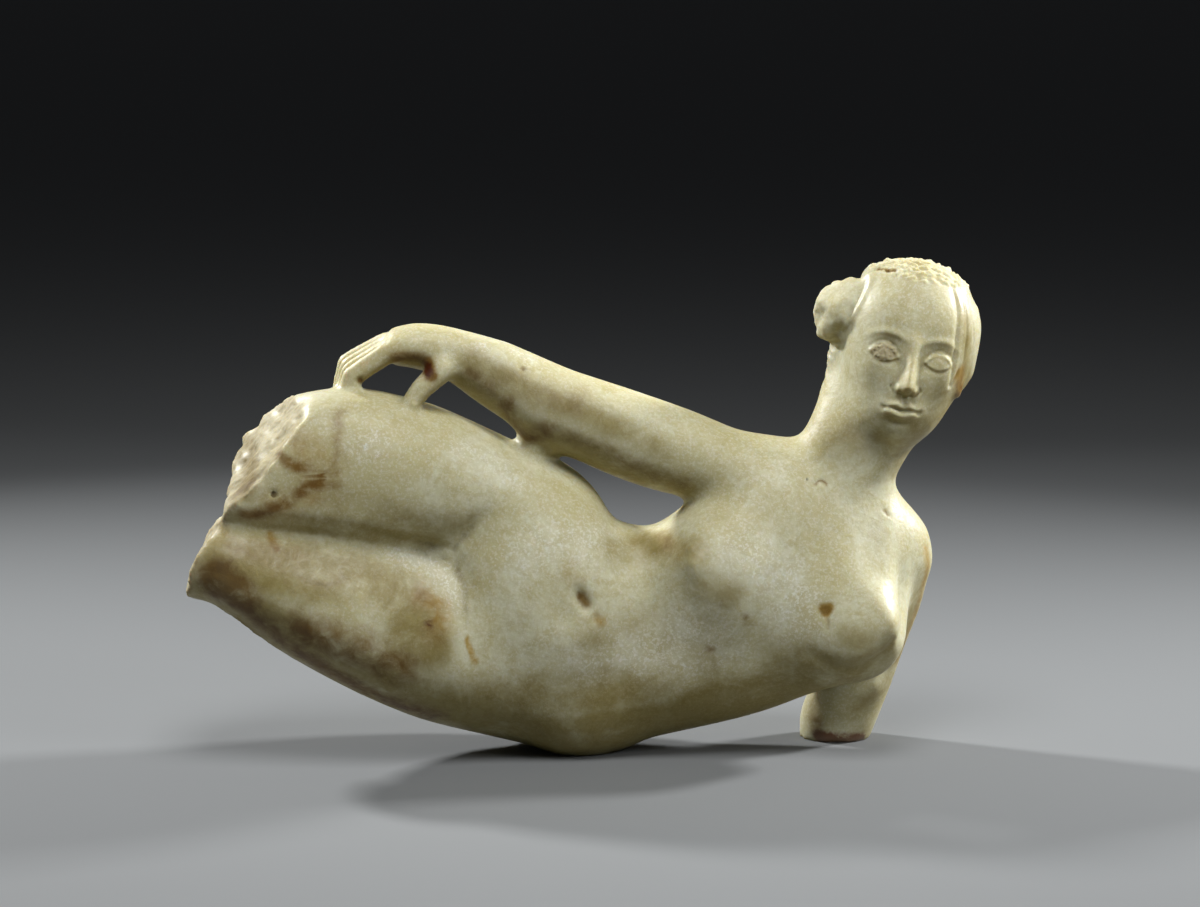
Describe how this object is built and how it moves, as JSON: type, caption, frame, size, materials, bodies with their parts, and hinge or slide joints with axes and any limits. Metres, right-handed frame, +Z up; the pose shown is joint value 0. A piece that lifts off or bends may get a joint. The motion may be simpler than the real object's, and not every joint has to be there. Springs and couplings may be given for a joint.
{
  "type": "reclining female statuette",
  "caption": "Broken alabaster statuette of a reclining nude woman, propped on the stump of one arm, with the other arm along her side.",
  "frame": {"origin": "on the resting plane, under the middle of the figure's bounding box", "axes": "+Z up; +X along the body from the broken thighs to the head, its longest extent; -Y the figure's front"},
  "size_m": [0.1971, 0.0584, 0.1241],
  "materials": {
    "alabaster": "satin, warm and faintly translucent, with brown stains and rough breaks"
  },
  "bodies": {
    "root": {"statuette": "alabaster"}
  },
  "joints": []
}
